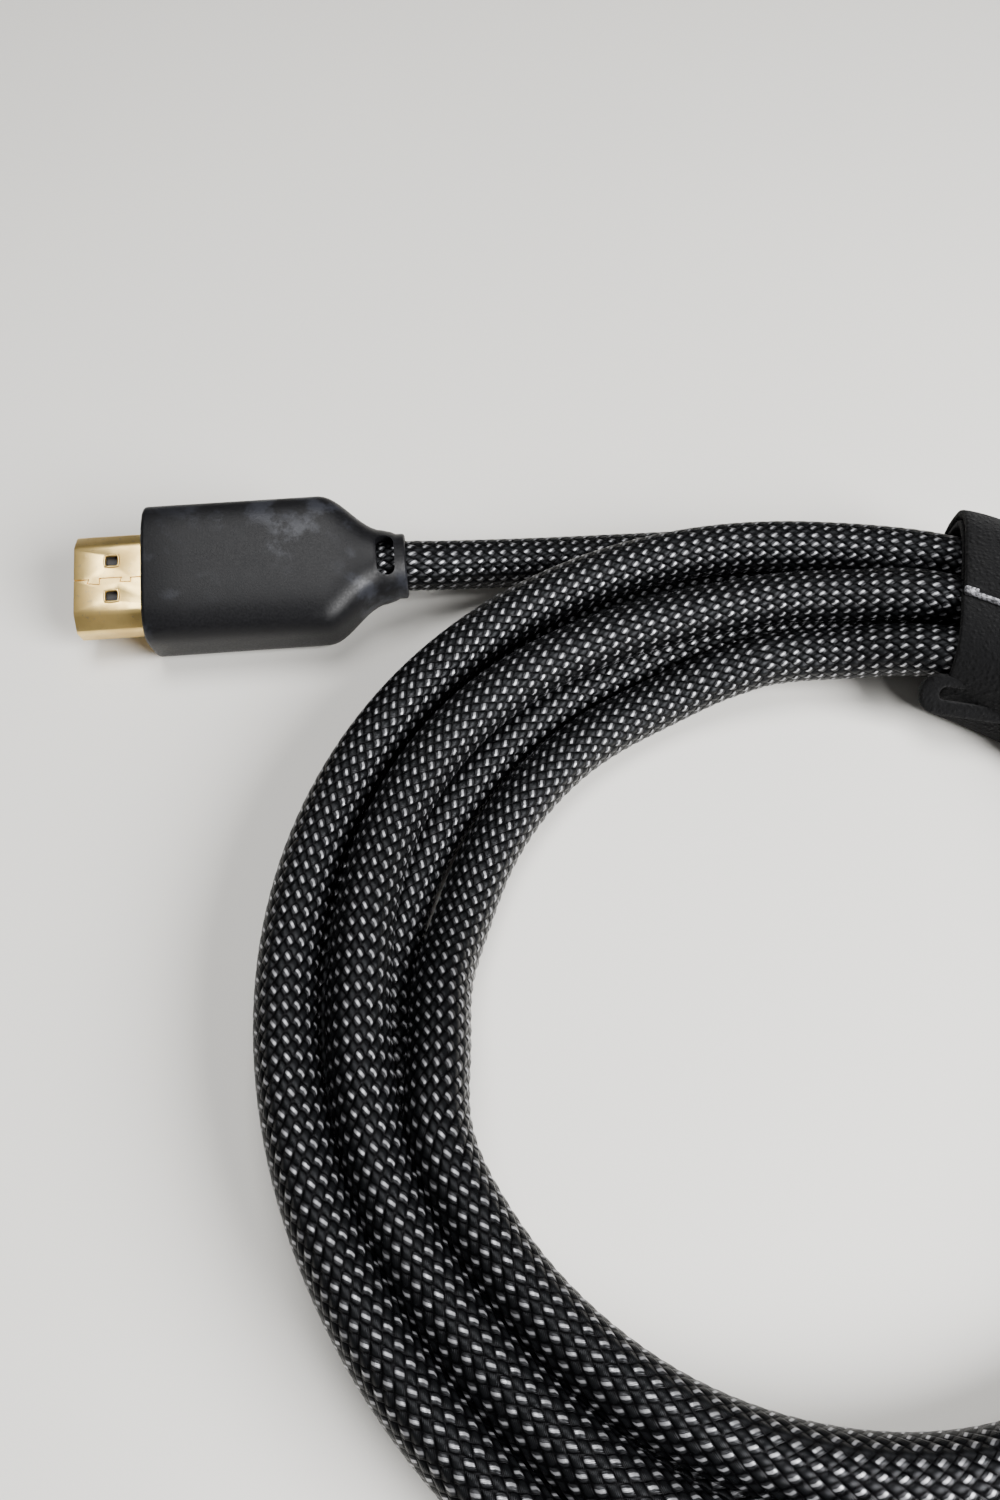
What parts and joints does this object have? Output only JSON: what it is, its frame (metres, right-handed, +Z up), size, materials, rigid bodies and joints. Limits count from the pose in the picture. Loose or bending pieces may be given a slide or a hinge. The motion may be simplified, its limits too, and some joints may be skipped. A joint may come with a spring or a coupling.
{
  "type": "hdmi cable",
  "caption": "Braided audio and video cable with a flat metal-shelled plug at each end, wound into a round coil and held by a hook-and-loop strap.",
  "frame": {"origin": "middle of the coiled cable's footprint, on the floor it lies on", "axes": "+Z up from the floor, +X from the near plug's end of the coil towards the far plug"},
  "size_m": [0.2222, 0.1322, 0.0146],
  "materials": {
    "plated_metal": "bright gold plate",
    "lining_plastic": "satin moulded plastic",
    "housing_plastic": "fine matte moulding",
    "braid": "black monofilament braid with pale flecks",
    "strap_cloth": "short-looped cloth"
  },
  "bodies": {
    "root": {"near_plug_shell": "plated_metal", "near_plug_contact_lining": "lining_plastic", "near_plug_upper_contacts": "plated_metal", "near_plug_lower_contacts": "plated_metal", "near_plug_housing": "housing_plastic", "far_plug_shell": "plated_metal", "far_plug_contact_lining": "lining_plastic", "far_plug_upper_contacts": "plated_metal", "far_plug_lower_contacts": "plated_metal", "far_plug_housing": "housing_plastic", "cord_near_lead": "braid", "cord_coil": "braid", "cord_far_lead": "braid", "strap": "strap_cloth"}
  },
  "joints": []
}
